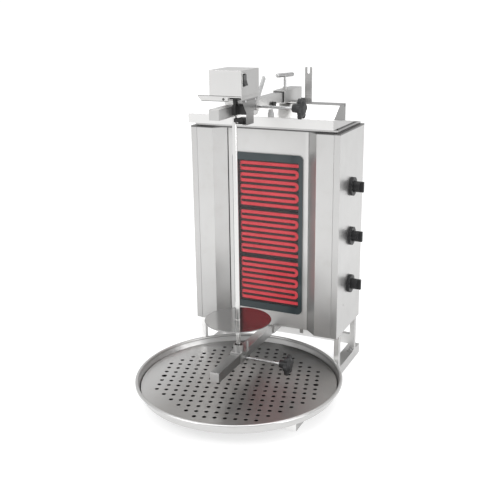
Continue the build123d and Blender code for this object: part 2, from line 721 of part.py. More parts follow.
def drive_gear():
    """Output gear on its shaft, with the square socket that turns the spit."""
    wheel = Pos(0, SPIT_Y, GEAR_BOTTOM) * extrude(gear_profile(GEAR_TEETH, math.pi / 2), GEAR_FACE)
    shaft = rod_z(0, SPIT_Y, (TOP_ARM_BOTTOM + 18, MOTOR_PLATE_BOTTOM - 0.5), SHAFT_RADIUS)
    socket = rod_z(0, SPIT_Y, (TOP_ARM_BOTTOM + 4, TOP_ARM_TOP - 1), 7.5)
    half = SPIT_SQUARE / 2 + 0.2
    recess = block((-half, half), (SPIT_Y - half, SPIT_Y + half), (TOP_ARM_BOTTOM, SPIT_TIP + 0.4))
    return wheel + shaft + socket - recess


def drive_pinion():
    tooth_gap = -math.pi / 2 + math.pi / PINION_TEETH
    wheel = extrude(gear_profile(PINION_TEETH, tooth_gap), GEAR_FACE)
    shaft = rod_z(0, 0, (-1.5, MOTOR_PLATE_TOP + 29 - GEAR_BOTTOM), 2.5)
    return Pos(0, pinion_y(), GEAR_BOTTOM) * (wheel + shaft)


def gear_case():
    """Bright case on top of the arm that holds the two gears."""
    y = (SPIT_Y - CASE_HALF, CASE_REAR)
    case = block((-CASE_HALF, CASE_HALF), y, (CASE_BOTTOM, MOTOR_PLATE_BOTTOM))
    inner = CASE_HALF - CASE_WALL
    inner_y = (y[0] + CASE_WALL, y[1] - CASE_WALL)
    case -= block((-inner, inner), inner_y, (CASE_BOTTOM + CASE_WALL, MOTOR_PLATE_BOTTOM + 1))
    return case - rod_z(0, SPIT_Y, (CASE_BOTTOM - 1, CASE_BOTTOM + 10), SHAFT_RADIUS + FIT)


def guide_block():
    """Black moulding right of the arm: cheek beside the arm, post in front, flange under the motor plate."""
    cheek = block((ARM / 2, HANGER_INNER), (SPIT_Y - 22, SPIT_Y + 18), (TOP_ARM_BOTTOM + 4, CASE_BOTTOM))
    nose = block((ARM / 2, ARM / 2 + 7), (SPIT_Y - 36, SPIT_Y - 21), (TOP_ARM_BOTTOM + 3, CASE_BOTTOM + 3))
    post = block((ARM / 2 + 1, ARM / 2 + 8), (SPIT_Y - 34, SPIT_Y - 23), (CASE_BOTTOM, MOTOR_PLATE_BOTTOM))
    under = (MOTOR_PLATE_BOTTOM - 4.5, MOTOR_PLATE_BOTTOM)
    flange = block((8, HANGER_INNER), (MOTOR_FRONT + 5, SPIT_Y - 20), under)
    return cheek + nose + post + flange


def hanger_plate():
    """Side plate that tapers down from the motor plate and turns in below the arm."""
    x = (HANGER_INNER, MOTOR_HALF - 0.8)
    low = SPIT_Y - 18.5
    high = SPIT_Y + 21.5
    side = slab_yz([(MOTOR_FRONT, MOTOR_PLATE_BOTTOM), (MOTOR_REAR, MOTOR_PLATE_BOTTOM), (high, 756),
                    (high, HANGER_FOOT), (low, HANGER_FOOT), (low, 756)], x)
    return side + block((9, HANGER_INNER + 0.5), (low, high), (HANGER_FOOT, HANGER_FOOT + 2))


def spit_top_guide():
    """Half bearing that steadies the spit's top from one side."""
    body = block((14, 27), (SPIT_Y - 9, SPIT_Y + 9), (HANGER_FOOT + 2, TOP_ARM_BOTTOM - 6))
    jaw = block((1.5, 15), (SPIT_Y - 7.5, SPIT_Y + 7.5), (HANGER_FOOT + 4, TOP_ARM_BOTTOM - 8))
    return body + jaw - rod_z(0, SPIT_Y, (HANGER_FOOT, TOP_ARM_BOTTOM), SPIT_RADIUS + 0.4)


def star_y():
    return SPIT_Y + 70.5


def motor_saddle():
    """Channel over the arm behind the gear case, with the boss for the star screw."""
    outside = block((-15, 15), (SPIT_Y + 30, SPIT_Y + 92), (TOP_ARM_BOTTOM - 2, TOP_ARM_TOP + 2.5))
    arm = block((-ARM / 2, ARM / 2), (SPIT_Y + 28, SPIT_Y + 95), (TOP_ARM_BOTTOM - 5, TOP_ARM_TOP))
    boss = rod_x((14, 30), star_y(), TOP_ARM_MIDDLE, 9)
    shape = outside - arm + boss
    return shape - rod_x((ARM / 2, 32), star_y(), TOP_ARM_MIDDLE, SCREW_RADIUS + FIT)


def lock_lever():
    """Flat lever with a round eye on the saddle's boss."""
    x = (20, 25)
    eye = rod_x(x, star_y(), TOP_ARM_MIDDLE, 21)
    lean = math.radians(41)
    reach = 87.0
    direction = (math.sin(lean), math.cos(lean))
    across = (math.cos(lean), -math.sin(lean))
    corners = []
    for along, side in ((10, -6.5), (reach, -5.6), (reach, 5.6), (10, 6.5)):
        y = star_y() + along * direction[0] + side * across[0]
        z = TOP_ARM_MIDDLE + along * direction[1] + side * across[1]
        corners.append((y, z))
    strap = slab_yz(corners, x)
    return eye + strap - rod_x((x[0] - 1, x[1] + 1), star_y(), TOP_ARM_MIDDLE, 9 + FIT)


def star_screw(x, y, z, shank):
    """Threaded shank between its pad and the knob, with a collar against the hub."""
    collar = rod_x((x + shank - 5, x + shank), y, z, SCREW_RADIUS + 2)
    return rod_x((x + PAD_DEPTH, x + shank + 10), y, z, SCREW_RADIUS) + collar


def star_pad(x, y, z):
    return rod_x((x, x + PAD_DEPTH), y, z, SCREW_RADIUS - 0.1)


def star_knob(x, y, z, shank):
    """Six-lobed hand wheel with a long round hub towards the machine and a crowned face."""
    start = x + shank
    wheel = start + STAR_HUB
    lobes = Circle(STAR_RADIUS - 5.5)
    for index in range(STAR_LOBES):
        turn = 2 * math.pi * index / STAR_LOBES
        place = STAR_RADIUS - 8.5
        lobes += Pos(place * math.cos(turn), place * math.sin(turn)) * Circle(8.5)
    rim = Pos(wheel, y, z) * extrude(Plane.YZ * lobes, STAR_DEPTH)
    rim = chamfer(rim.faces().sort_by(Axis.X)[-1].edges(), 2.0)
    crown = Pos(wheel + STAR_DEPTH, y, z) * Rot(0, 90, 0) * Cone(STAR_RADIUS - 9, STAR_RADIUS - 16, 4,
                                                               align=FROM_BASE)
    hub = Pos(start, y, z) * Rot(0, 90, 0) * Cone(STAR_HUB_RADIUS - 2, STAR_HUB_RADIUS, STAR_HUB + 1,
                                                  align=FROM_BASE)
    return rim + crown + hub - rod_x((start - 1, start + 10), y, z, SCREW_RADIUS)


def rocker_button():
    """Rocker that tips about a level pin in the cover's frame."""
    y = switch_y()
    z = SWITCH_Z
    face = MOTOR_HALF + 3.5
    points = [(MOTOR_HALF - 4, z - 9), (face + 3.5, z - 12.5), (face, z), (face, z + 12.5), (MOTOR_HALF - 4, z + 9)]
    return slab_xz(points, (y - 8, y + 8)) + rod_y(MOTOR_HALF, (y - 9.8, y + 9.8), z, 1.0)


# ---------------------------------------------------------------- spit and lower carriage

def spit_rod():
    rod = rod_z(0, SPIT_Y, (SPIT_BOTTOM, SPIT_SHOULDER), SPIT_RADIUS)
    half = SPIT_SQUARE / 2
    return rod + block((-half, half), (SPIT_Y - half, SPIT_Y + half), (SPIT_SHOULDER - 1, SPIT_TIP))


def meat_disc():
    """Round plate that carries the meat, with a hub clamped on the spit."""
    disc = rod_z(0, SPIT_Y, (DISC_Z, DISC_Z + DISC_THICKNESS), DISC_RADIUS)
    disc = fillet(disc.edges(), 1.1)
    hub = rod_z(0, SPIT_Y, (DISC_Z - 18, DISC_Z + 1), 13)
    return disc + hub - rod_z(0, SPIT_Y, (DISC_Z - 30, DISC_Z + 10), SPIT_RADIUS)


def lower_arm():
    return square_arm((LOW_ARM_FRONT, LOW_ARM_REAR), LOW_ARM_MIDDLE, True)


def lower_arm_mount():
    """Channel that holds the lower arm under the cabinet's floor."""
    y = (FRONT_Y + 34, FRONT_Y + 160)
    half = ARM / 2
    plate = block((-45, 45), y, (LOW_ARM_TOP, CABINET_BOTTOM))
    cheeks = block((-half - 3, half + 3), y, (LOW_ARM_BOTTOM, LOW_ARM_TOP))
    return plate + cheeks - block((-half, half), (y[0] - 1, y[1] + 1), (LOW_ARM_BOTTOM - 1, LOW_ARM_TOP))


def lower_carriage():
    """Saddle that slides on the lower arm and holds the spit's bearing."""
    y = (CARRIAGE_FRONT, CARRIAGE_REAR)
    half = ARM / 2 + 0.3
    saddle = block((-15.8, 15.8), y, (LOW_ARM_BOTTOM - 1, CARRIAGE_TOP))
    ledge = block((10, 24), (SPIT_Y, CARRIAGE_REAR), (LOW_ARM_TOP + 0.3, CARRIAGE_TOP))
    housing = rod_z(0, SPIT_Y, (CARRIAGE_TOP - 1, HOUSING_TOP), HOUSING_RADIUS)
    shape = saddle + ledge + housing
    shape -= block((-half, half), (y[0] - 1, y[1] + 1), (LOW_ARM_BOTTOM - 2, LOW_ARM_TOP + 0.3))
    shape -= rod_z(0, SPIT_Y, (SPIT_BOTTOM - 0.5, HOUSING_TOP + 1), BEARING_RADIUS)
    shape += rod_z(20, SPIT_Y + 12.5, (CARRIAGE_TOP - 1, CARRIAGE_TOP + 27), 3.5)
    boss = rod_x((15, 21), SPIT_Y, LOW_ARM_MIDDLE, 8)
    return shape + boss - rod_x((half, 30), SPIT_Y, LOW_ARM_MIDDLE, SCREW_RADIUS + FIT)


def spit_bearing():
    ring = rod_z(0, SPIT_Y, (SPIT_BOTTOM - 0.5, HOUSING_TOP - 1), BEARING_RADIUS)
    return ring - rod_z(0, SPIT_Y, (SPIT_BOTTOM + 0.0, HOUSING_TOP + 1), SPIT_RADIUS + FIT)


def save(name, shape):
    shape.label = name
    export_step(shape, f"parts/{name}.step")


def main():
    os.makedirs("parts", exist_ok=True)

    rail = screw_holes(base_rail())
    save("base_rail_right", rail)
    save("base_rail_left", mirrored(rail))
    posts = [leg(y) for y in leg_places()]
    save("legs", group(posts + [mirrored(post) for post in posts]))
    save("foot_plate_screws", foot_plate_screws())
    save("rear_cross_beam", rear_cross_beam())
    save("front_cross_tie", front_cross_tie())
    save("rubber_feet", rubber_feet())

    save("drip_pan", drip_pan())
    save("perforated_plate", perforated_plate())

    save("side_panel_right", side_panel_right())
    save("side_panel_left", mirrored(side_panel()))
    save("wing_right", wing())
    save("wing_left", mirrored(wing()))
    save("front_panel", front_panel())
    save("bottom_plate", bottom_plate())
    save("top_plate", top_plate())
    save("top_lid", top_lid())
    save("back_cover", screw_pilots(back_cover()))
    save("rear_screws", rear_screws())
    save("glass_panel", glass_panel())
    for label, z in zip(("top", "middle", "bottom"), knob_heights()):
        save(f"control_knob_{label}", control_knob(z))
    save("heating_ribbons", group([heating_ribbon(z) for z in knob_heights()]))
    save("element_trays", group([element_tray(z) for z in knob_heights()]))
    save("power_switches", group([power_switch(z) for z in knob_heights()]))
    save("knob_bezels", group([knob_bezel(z) for z in knob_heights()]))
    save("cable_glands", group([cable_gland(), motor_lead_gland()]))

    save("rear_bridge", mast_pilots(rear_bridge()))
    save("cable_mast", cable_mast())
    save("arm_sleeve", arm_sleeve())
    save("sleeve_collar", sleeve_collar())
    save("t_clamp_pad", t_clamp_pad())
    save("t_clamp_screw", t_clamp_screw())

    save("top_arm", stop_hole(top_arm()))
    save("arm_stop", arm_stop())
    save("motor_cover", motor_cover())
    save("motor_plate", motor_plate())
    save("gear_motor", gear_motor())
    save("gear_case", gear_case())
    save("guide_block", guide_block())
    save("drive_gear", drive_gear())
    save("drive_pinion", drive_pinion())
    save("hanger_plate", hanger_plate())
    save("spit_top_guide", spit_top_guide())
    save("motor_saddle", motor_saddle())
    save("lock_lever", lock_lever())
    save("rocker_button", rocker_button())
    top_start = (ARM / 2 + 0.3, star_y(), TOP_ARM_MIDDLE)
    save("top_star_pad", star_pad(*top_start))
    save("top_star_screw", star_screw(*top_start, UPPER_SHANK))
    save("top_star_knob", star_knob(*top_start, UPPER_SHANK))

    save("spit_rod", spit_rod())
    save("meat_disc", meat_disc())
    save("lower_arm", lower_arm())
    save("lower_arm_mount", lower_arm_mount())
    save("lower_carriage", lower_carriage())
    save("spit_bearing", spit_bearing())
    low_start = (ARM / 2 + 0.6, SPIT_Y, LOW_ARM_MIDDLE)
    save("lower_star_pad", star_pad(*low_start))
    save("lower_star_screw", star_screw(*low_start, LOWER_SHANK))
    save("lower_star_knob", star_knob(*low_start, LOWER_SHANK))


main()
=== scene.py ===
import json
import math

import bmesh
import bpy
from mathutils import Matrix, Vector


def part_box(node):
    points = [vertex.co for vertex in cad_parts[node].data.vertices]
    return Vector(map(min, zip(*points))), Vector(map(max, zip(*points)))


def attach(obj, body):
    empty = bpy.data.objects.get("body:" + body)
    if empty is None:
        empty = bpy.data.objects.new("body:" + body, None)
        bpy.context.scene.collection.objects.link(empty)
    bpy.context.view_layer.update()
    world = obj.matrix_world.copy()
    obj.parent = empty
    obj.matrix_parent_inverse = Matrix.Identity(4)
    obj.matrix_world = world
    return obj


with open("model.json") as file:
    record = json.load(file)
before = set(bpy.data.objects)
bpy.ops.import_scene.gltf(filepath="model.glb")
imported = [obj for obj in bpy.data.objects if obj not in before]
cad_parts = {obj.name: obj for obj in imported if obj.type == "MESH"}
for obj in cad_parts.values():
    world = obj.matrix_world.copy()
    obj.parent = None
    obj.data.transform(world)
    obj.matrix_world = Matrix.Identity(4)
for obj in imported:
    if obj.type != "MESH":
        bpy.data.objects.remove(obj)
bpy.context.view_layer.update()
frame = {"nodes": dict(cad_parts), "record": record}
scene = bpy.context.scene


# ------------------------------------------------------------------ camera

CAMERA_PLACE = (0.8485, -1.7960, 1.0086)
CAMERA_TURN = math.radians(25.09)
CAMERA_TILT = math.radians(17.35)
CAMERA_ROLL = math.radians(-0.71)
CAMERA_LENS = 57.32


def set_camera():
    """CAMERA_TURN goes round from the front to the right, and CAMERA_TILT is how far the view looks down."""
    level = math.cos(CAMERA_TILT)
    back = Vector((math.sin(CAMERA_TURN) * level, -math.cos(CAMERA_TURN) * level, math.sin(CAMERA_TILT)))
    right = Vector((math.cos(CAMERA_TURN), math.sin(CAMERA_TURN), 0))
    up = back.cross(right)
    cosine, sine = math.cos(CAMERA_ROLL), math.sin(CAMERA_ROLL)
    axes = Matrix((right * cosine + up * sine, up * cosine - right * sine, back)).transposed()
    data = bpy.data.cameras.new("camera")
    data.sensor_width = 36
    data.lens = CAMERA_LENS
    data.clip_start = 0.05
    data.clip_end = 60
    camera = bpy.data.objects.new("camera", data)
    camera.matrix_world = Matrix.Translation(CAMERA_PLACE) @ axes.to_4x4()
    scene.collection.objects.link(camera)
    scene.camera = camera


set_camera()


# ------------------------------------------------------------------ places on the object, in metres

def low_corner(node):
    return Vector(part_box(node)[0])


def high_corner(node):
    return Vector(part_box(node)[1])


def middle(node):
    return (low_corner(node) + high_corner(node)) / 2


SPIT_Y = middle("spit_rod").y
ROD_REACH = 0.0085                  # the spit's rod lies inside this radius, and its disc outside
WING_FOLD = 0.1495                  # X where a wing turns from its front face into its inner flank
PANEL_EDGE = high_corner("front_panel").x
CABINET_TOP = high_corner("wing_right").z
BRIDGE_CORNER = high_corner("rear_bridge")
COVER_FOOT = low_corner("motor_cover").z
MOTOR_PLATE_FOOT = low_corner("motor_plate").z
GLASS_MIDDLE = middle("glass_panel").z
ZONE_HALF_WIDTH = 0.0915            # the clear part of the glass, in front of the ribbons
ZONE_HALF_HEIGHT = 0.2035
RIBBON_END = high_corner("heating_ribbons").x
PAN_FOOT = low_corner("drip_pan").z
PAN_FLOOR_RADIUS = 0.258
BETWEEN_ARMS = 0.3                  # a height above all of the lower arm and below the upper one


# ------------------------------------------------------------------ shader maths

class Number:
    """A number socket with arithmetic on it."""

    def __init__(self, shader, socket):
        self.shader = shader
        self.socket = socket

    def _math(self, operation, *values, clamp=False):
        node = self.shader.node("ShaderNodeMath", {"operation": operation, "use_clamp": clamp}, *values)
        return Number(self.shader, node.outputs[0])

    def __add__(self, other):
        return self._math("ADD", self, other)

    def __radd__(self, other):
        return self._math("ADD", other, self)

    def __sub__(self, other):
        return self._math("SUBTRACT", self, other)

    def __rsub__(self, other):
        return self._math("SUBTRACT", other, self)

    def __mul__(self, other):
        return self._math("MULTIPLY", self, other)

    def __rmul__(self, other):
        return self._math("MULTIPLY", other, self)

    def __pow__(self, other):
        return self._math("POWER", self, other)

    def __neg__(self):
        return self._math("MULTIPLY", self, -1.0)

    def __abs__(self):
        return self._math("ABSOLUTE", self)

    def above(self, other):
        """1 where this is more than other, and 0 elsewhere."""
        return self._math("GREATER_THAN", self, other)

    def held(self):
        """The same number, kept between 0 and 1."""
        return self._math("ADD", self, 0.0, clamp=True)


class Shader:
    """The node tree of a material or of the world, and the calls that add nodes to it."""

    def __init__(self, owner, main_node, coordinates):
        owner.use_nodes = True
        self.owner = owner
        self.tree = owner.node_tree
        self.main = self.tree.nodes[main_node]
        self.place = self.node("ShaderNodeTexCoord").outputs[coordinates]

    def feed(self, slot, value):
        if isinstance(value, Number):
            value = value.socket
        if isinstance(value, bpy.types.NodeSocket):
            self.tree.links.new(value, slot)
        elif slot.type == "RGBA":
            slot.default_value = (*value, 1.0)
        else:
            slot.default_value = value

    def node(self, kind, settings=None, *in_order, **by_name):
        """A node of any kind: settings first, then its sockets' values or links, in order or by name."""
        node = self.tree.nodes.new(kind)
        for key, value in (settings or {}).items():
            setattr(node, key, value)
        for slot, value in zip(node.inputs, in_order):
            self.feed(slot, value)
        for name, value in by_name.items():
            wanted = name.replace("_", " ")
            self.feed(next(slot for slot in node.inputs if slot.name == wanted and slot.enabled), value)
        return node

    def stretched(self, x, y, z):
        """Object coordinates with each axis scaled on its own."""
        settings = {"vector_type": "POINT"}
        return self.node("ShaderNodeMapping", settings, Vector=self.place, Scale=(x, y, z)).outputs[0]

    def noise(self, where, scale, detail=3.0, roughness=0.55):
        made = self.node("ShaderNodeTexNoise", {"noise_dimensions": "3D"}, Vector=where, Scale=scale,
                         Detail=detail, Roughness=roughness)
        return Number(self, made.outputs["Fac"])

    def axis(self, name):
        """Where a point lies along one axis."""
        return Number(self, self.node("ShaderNodeSeparateXYZ", Vector=self.place).outputs[name])

    def facing(self, name):
        """How far a face looks along one axis, -1 to 1."""
        normal = self.node("ShaderNodeNewGeometry").outputs["True Normal"]
        return Number(self, self.node("ShaderNodeSeparateXYZ", Vector=normal).outputs[name])

    def from_spit(self):
        """Distance from the spit's axis."""
        return (self.axis("X") ** 2.0 + (self.axis("Y") - SPIT_Y) ** 2.0) ** 0.5

    def ramp(self, value, low, high):
        """0 below low and 1 above high, smooth between."""
        settings = {"interpolation_type": "SMOOTHSTEP"}
        made = self.node("ShaderNodeMapRange", settings, Value=value, From_Min=low, From_Max=high)
        return Number(self, made.outputs[0])

    def mix(self, share, first, second):
        """A colour between two colours."""
        node = self.node("ShaderNodeMix", {"data_type": "RGBA"}, Factor=share, A=first, B=second)
        return next(slot for slot in node.outputs if slot.enabled)

    def bump(self, height, strength, distance, **under):
        """A normal from a height, on the normal given as Normal if there is one."""
        made = self.node("ShaderNodeBump", None, Height=height, Strength=strength, Distance=distance, **under)
        return made.outputs[0]

    def edge_wear(self, size):
        """1 near sharp edges and 0 on flat faces, and the normal with those edges rounded."""
        rounded = self.node("ShaderNodeBevel", {"samples": 4}, Radius=size).outputs[0]
        flat = self.node("ShaderNodeNewGeometry").outputs["Normal"]
        same = self.node("ShaderNodeVectorMath", {"operation": "DOT_PRODUCT"}, rounded, flat)
        return 1.0 - Number(self, same.outputs["Value"]), rounded

    def done(self, **sockets):
        for name, value in sockets.items():
            self.feed(self.main.inputs[name.replace("_", " ")], value)
        return self.owner


def surface(name):
    return Shader(bpy.data.materials.new(name), "Principled BSDF", "Object")


def scaled(tint, amount):
    return tuple(channel * amount for channel in tint)


def grey(level):
    """Steel's own grey, a little warmer than neutral."""
    return (level, level * 0.995, level * 0.985)


# ------------------------------------------------------------------ where the painted light and shade lie

# Each of these gives 1 on the part of the surface that it is named for and 0 elsewhere; the finishes paint
# light and shade there.

# Faces looking to the right; the lid, its bridge and the motor are painted darker on them: painted shade.
def right_faces(s):
    return s.facing("X").above(0.5)


# Faces looking to the front; the rails and the lower arm's end are painted lighter on them and the lid's
# front darker: painted light and shade.
def front_faces(s):
    return (-s.facing("Y")).above(0.5)


def folded_inwards(s):
    """The wings' inner flanks, which turn from the front towards the heater; painted shade darkens them."""
    return s.ramp(WING_FOLD - abs(s.axis("X")), -0.0005, 0.0005)


def low_down(s):
    """The lower half of the cabinet, more and more towards its foot, where the finishes paint shade."""
    return s.ramp(0.42 - s.axis("Z"), 0.0, 0.26)


def panel_joint_shade(s):
    """Painted shade in the open joint down the heater panel's left side."""
    return s.ramp((0.0019 - PANEL_EDGE) - s.axis("X"), -0.0003, 0.0003)


# Painted highlight: a lighter band along the heater panel's right edge.
def panel_right_edge(s):
    return s.ramp(s.axis("X"), PANEL_EDGE - 0.0133, PANEL_EDGE - 0.0013)


def lid_shadow(s):
    """The dark line along the cabinet's top edge, below the lid's overhang."""
    rise = s.axis("Z") - CABINET_TOP
    return s.ramp(rise, -0.0033, -0.0013) * (0.0040 - rise).above(0.0)


def under_lid(s):
    """The shaded gap between the cabinet's top edge and the lid."""
    return s.ramp(s.axis("Z") - CABINET_TOP, 0.0060, 0.0110)


# Painted shade on the rear bridge's right-hand end.
def bridge_side(s):
    return right_faces(s) * (BRIDGE_CORNER.x + 0.005 - s.axis("X")).above(0.0)


def bridge_edge_shade(s):
    """Painted shade: a dark line along the bridge's top and a dark corner at the top of its end."""
    top = s.axis("Z").above(BRIDGE_CORNER.z - 0.0015)
    corner = s.axis("Z").above(BRIDGE_CORNER.z - 0.0085) * s.axis("Y").above(BRIDGE_CORNER.y - 0.0125)
    return top * 0.75 + right_faces(s) * corner


def under_motor(s):
    """Painted shade on the hanger plate, below the motor's plate."""
    return s.axis("X").above(0.03) * (MOTOR_PLATE_FOOT + 0.0045 - s.axis("Z")).above(0.0)


def cover_seam_and_strip_shade(s):
    """Dark line where the motor's cover stands on its plate, and painted shade along the lower edge of the
    pull strip.
    """
    height = s.axis("Z")
    joint = (0.0007 - abs(height - (COVER_FOOT - 0.0002))).above(0.0)
    edge = (0.0006 - abs(height - (MOTOR_PLATE_FOOT + 0.0006))).above(0.0)
    return (joint + edge) * (0.0415 - s.axis("X")).above(0.0)


# The spit's disc, which its finish paints darker than the rod: painted shade.
def disc_area(s):
    return s.from_spit().above(ROD_REACH)


# Painted highlight: the plate lighter towards its left.
def plate_left(s):
    return s.ramp(-s.axis("X"), 0.06, 0.24)


# Painted shade: the plate darker towards its rear.
def plate_rear(s):
    return s.ramp(s.axis("Y"), 0.02, 0.15)


def pan_floor(s):
    """The pan's bottom, in the dark below the plate."""
    return (PAN_FOOT + 0.0085 - s.axis("Z")).above(0.0) * (PAN_FLOOR_RADIUS - s.from_spit()).above(0.0)


def lower_arm_area(s):
    """Painted shade on the lower arm, most of all on its part in front of the spit."""
    return (BETWEEN_ARMS - s.axis("Z")).above(0.0) * (0.35 + 0.65 * s.ramp(-s.axis("Y"), 0.0, 0.06))


# Painted highlight: the lower arm's front end lighter.
def lower_arm_end(s):
    return (BETWEEN_ARMS - s.axis("Z")).above(0.0) * front_faces(s)


# ------------------------------------------------------------------ finishes

def brushed(name, tint, grain, rough=0.30, dull=0.10, stain=0.0, tones=()):
    """Brushed stainless steel.

    grain is 'x', 'y' or 'z', the way the scratches run, or 'round' for turned work about the spit's axis.
    tones are (where, tint) pairs of painted light and shade: where takes the shader and gives the places that
    have that tint."""
    s = surface(name)
    along, across = 3.0, 900.0
    if grain == "round":
        ring = s.node("ShaderNodeCombineXYZ", None, X=s.from_spit() * across, Y=s.axis("Z") * 40.0, Z=0.0)
        scratch = s.noise(ring.outputs[0], 1.0, 2.0)
    else:
        scratch = s.noise(s.stretched(*(along if axis == grain else across for axis in "xyz")), 1.0, 2.0)
    cloud = s.noise(s.place, 5.0, 3.0)
    smear = s.noise(s.place, 22.0, 4.0, 0.6)
    shade = (0.90 + 0.12 * scratch + 0.08 * cloud).held()
    base = s.mix(shade, scaled(tint, 0.72), tint)
    # Painted light and shade laid over the grain.
    for where, tone in tones:
        base = s.mix(where(s).held(), base, s.mix(shade, scaled(tone, 0.8), tone))
    if stain:
        base = s.mix((s.ramp(smear, 0.52, 0.80) * stain).held(), base, (0.30, 0.24, 0.18))
    worn, rounded = s.edge_wear(0.0010)
    base = s.mix((worn * 0.5).held(), base, tuple(min(1.0, channel) for channel in scaled(tint, 1.12)))
    roughness = rough + dull * (smear - 0.5) * 2.0 + 0.10 * (scratch - 0.5)
    return s.done(Base_Color=base, Metallic=1.0, Roughness=roughness.held(),
                  Normal=s.bump(scratch, 0.12, 0.0004, Normal=rounded))


def plated(name, tint, rough):
    """Bright metal with a little dust on it."""
    s = surface(name)
    dust = s.noise(s.place, 60.0, 4.0)
    base = s.mix(s.ramp(dust, 0.45, 0.75), tint, scaled(tint, 0.82))
    return s.done(Base_Color=base, Metallic=1.0, Roughness=(rough + 0.18 * dust).held(),
                  Normal=s.bump(s.noise(s.place, 700.0, 1.0), 0.05, 0.0002))


def moulded(name, tint, rough, gloss):
    """Moulded plastic with a fine grain and paler rubbed edges."""
    s = surface(name)
    grain = s.noise(s.place, 1400.0, 2.0)
    smear = s.noise(s.place, 30.0, 3.0)
    worn, rounded = s.edge_wear(0.0012)
    rubbed = tuple(channel + 0.02 for channel in scaled(tint, 2.6))
    base = s.mix((worn * 0.8 + 0.15 * smear).held(), tint, rubbed)
    return s.done(Base_Color=base, Roughness=(rough + 0.16 * smear).held(), Coat_Weight=gloss,
                  Normal=s.bump(grain, 0.18, 0.0003, Normal=rounded))


def rubbery(name):
    s = surface(name)
    grain = s.noise(s.place, 500.0, 3.0)
    base = s.mix(grain, (0.014, 0.014, 0.014), (0.035, 0.034, 0.033))
    return s.done(Base_Color=base, Roughness=0.82, Normal=s.bump(grain, 0.35, 0.0004))


def dark_glass():
    """Heater glass: near-black and polished, opaque along its printed border, thin over the three zones."""
    s = surface("dark_heater_glass")
    smear = s.noise(s.place, 14.0, 4.0, 0.6)
    base = s.mix(smear, (0.022, 0.032, 0.036), (0.034, 0.046, 0.050))
    rough = (0.12 + 0.10 * s.ramp(smear, 0.4, 0.8)).held()
    beside = (ZONE_HALF_WIDTH - abs(s.axis("X"))).above(0.0)
    zones = beside * (ZONE_HALF_HEIGHT - abs(s.axis("Z") - GLASS_MIDDLE)).above(0.0)
    return s.done(Base_Color=base, Roughness=rough, Alpha=(1.0 - 0.73 * zones).held())


def glowing_ribbon():
    """Red-hot strip, a little uneven along its length; its left turns run cooler."""
    s = surface("glowing_ribbon")
    patch = s.noise(s.place, 26.0, 3.0)
    hot = s.mix(patch, (0.80, 0.040, 0.052), (1.0, 0.085, 0.110))
    colour = s.mix(s.ramp(s.axis("X") + RIBBON_END, 0.0045, 0.0115), (0.030, 0.010, 0.010), hot)
    return s.done(Base_Color=colour, Roughness=0.6, Emission_Color=colour, Emission_Strength=0.62)


def insulating_board():
    """Fibre board, dark and tinged by the glow of the ribbon in front of it."""
    s = surface("insulating_board")
    fleck = s.noise(s.place, 220.0, 4.0)
    base = s.mix(fleck, (0.060, 0.026, 0.024), (0.110, 0.048, 0.044))
    return s.done(Base_Color=base, Roughness=0.95, Normal=s.bump(fleck, 0.5, 0.001))


def enamel(name, tint):
    s = surface(name)
    peel = s.noise(s.place, 260.0, 2.0)
    smear = s.noise(s.place, 18.0, 3.0)
    return s.done(Base_Color=s.mix(smear, tint, scaled(tint, 1.6)), Roughness=(0.35 + 0.2 * smear).held(),
                  Coat_Weight=0.3, Normal=s.bump(peel, 0.1, 0.0003))


# Near black, used for painted shade.
DARK = (0.03, 0.03, 0.03)

